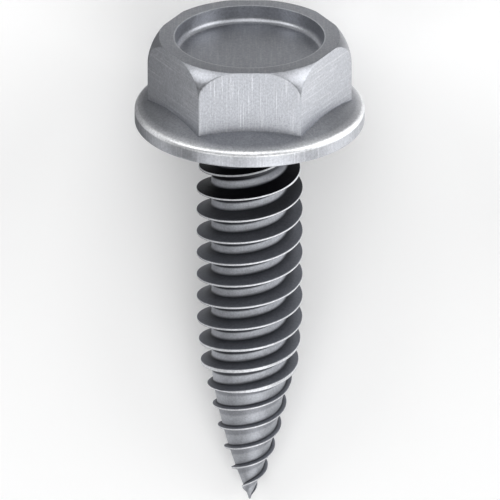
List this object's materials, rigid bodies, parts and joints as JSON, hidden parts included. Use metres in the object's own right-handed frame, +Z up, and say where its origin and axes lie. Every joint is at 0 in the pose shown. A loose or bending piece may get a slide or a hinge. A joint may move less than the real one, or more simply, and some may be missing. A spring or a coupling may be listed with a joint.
{
  "type": "hexagon flange head tapping screw",
  "caption": "Self-tapping sheet metal screw: dished hexagon head with a sloping flange, coarse twin thread along the whole shank and a sharp gimlet point.",
  "frame": {"origin": "centre of the flange's bearing face, on the screw's axis", "axes": "the screw lies as it comes to rest, on the flange's rim and the thread: +Y along it from the tip to the head, which points up by about 13.6 degrees; +Z up, towards the front flat of the hexagon; +X across it"},
  "size_m": [0.0104, 0.0235, 0.0103],
  "materials": {
    "steel": "satin, finely grained, cool grey"
  },
  "bodies": {
    "root": {"screw": "steel"}
  },
  "joints": []
}
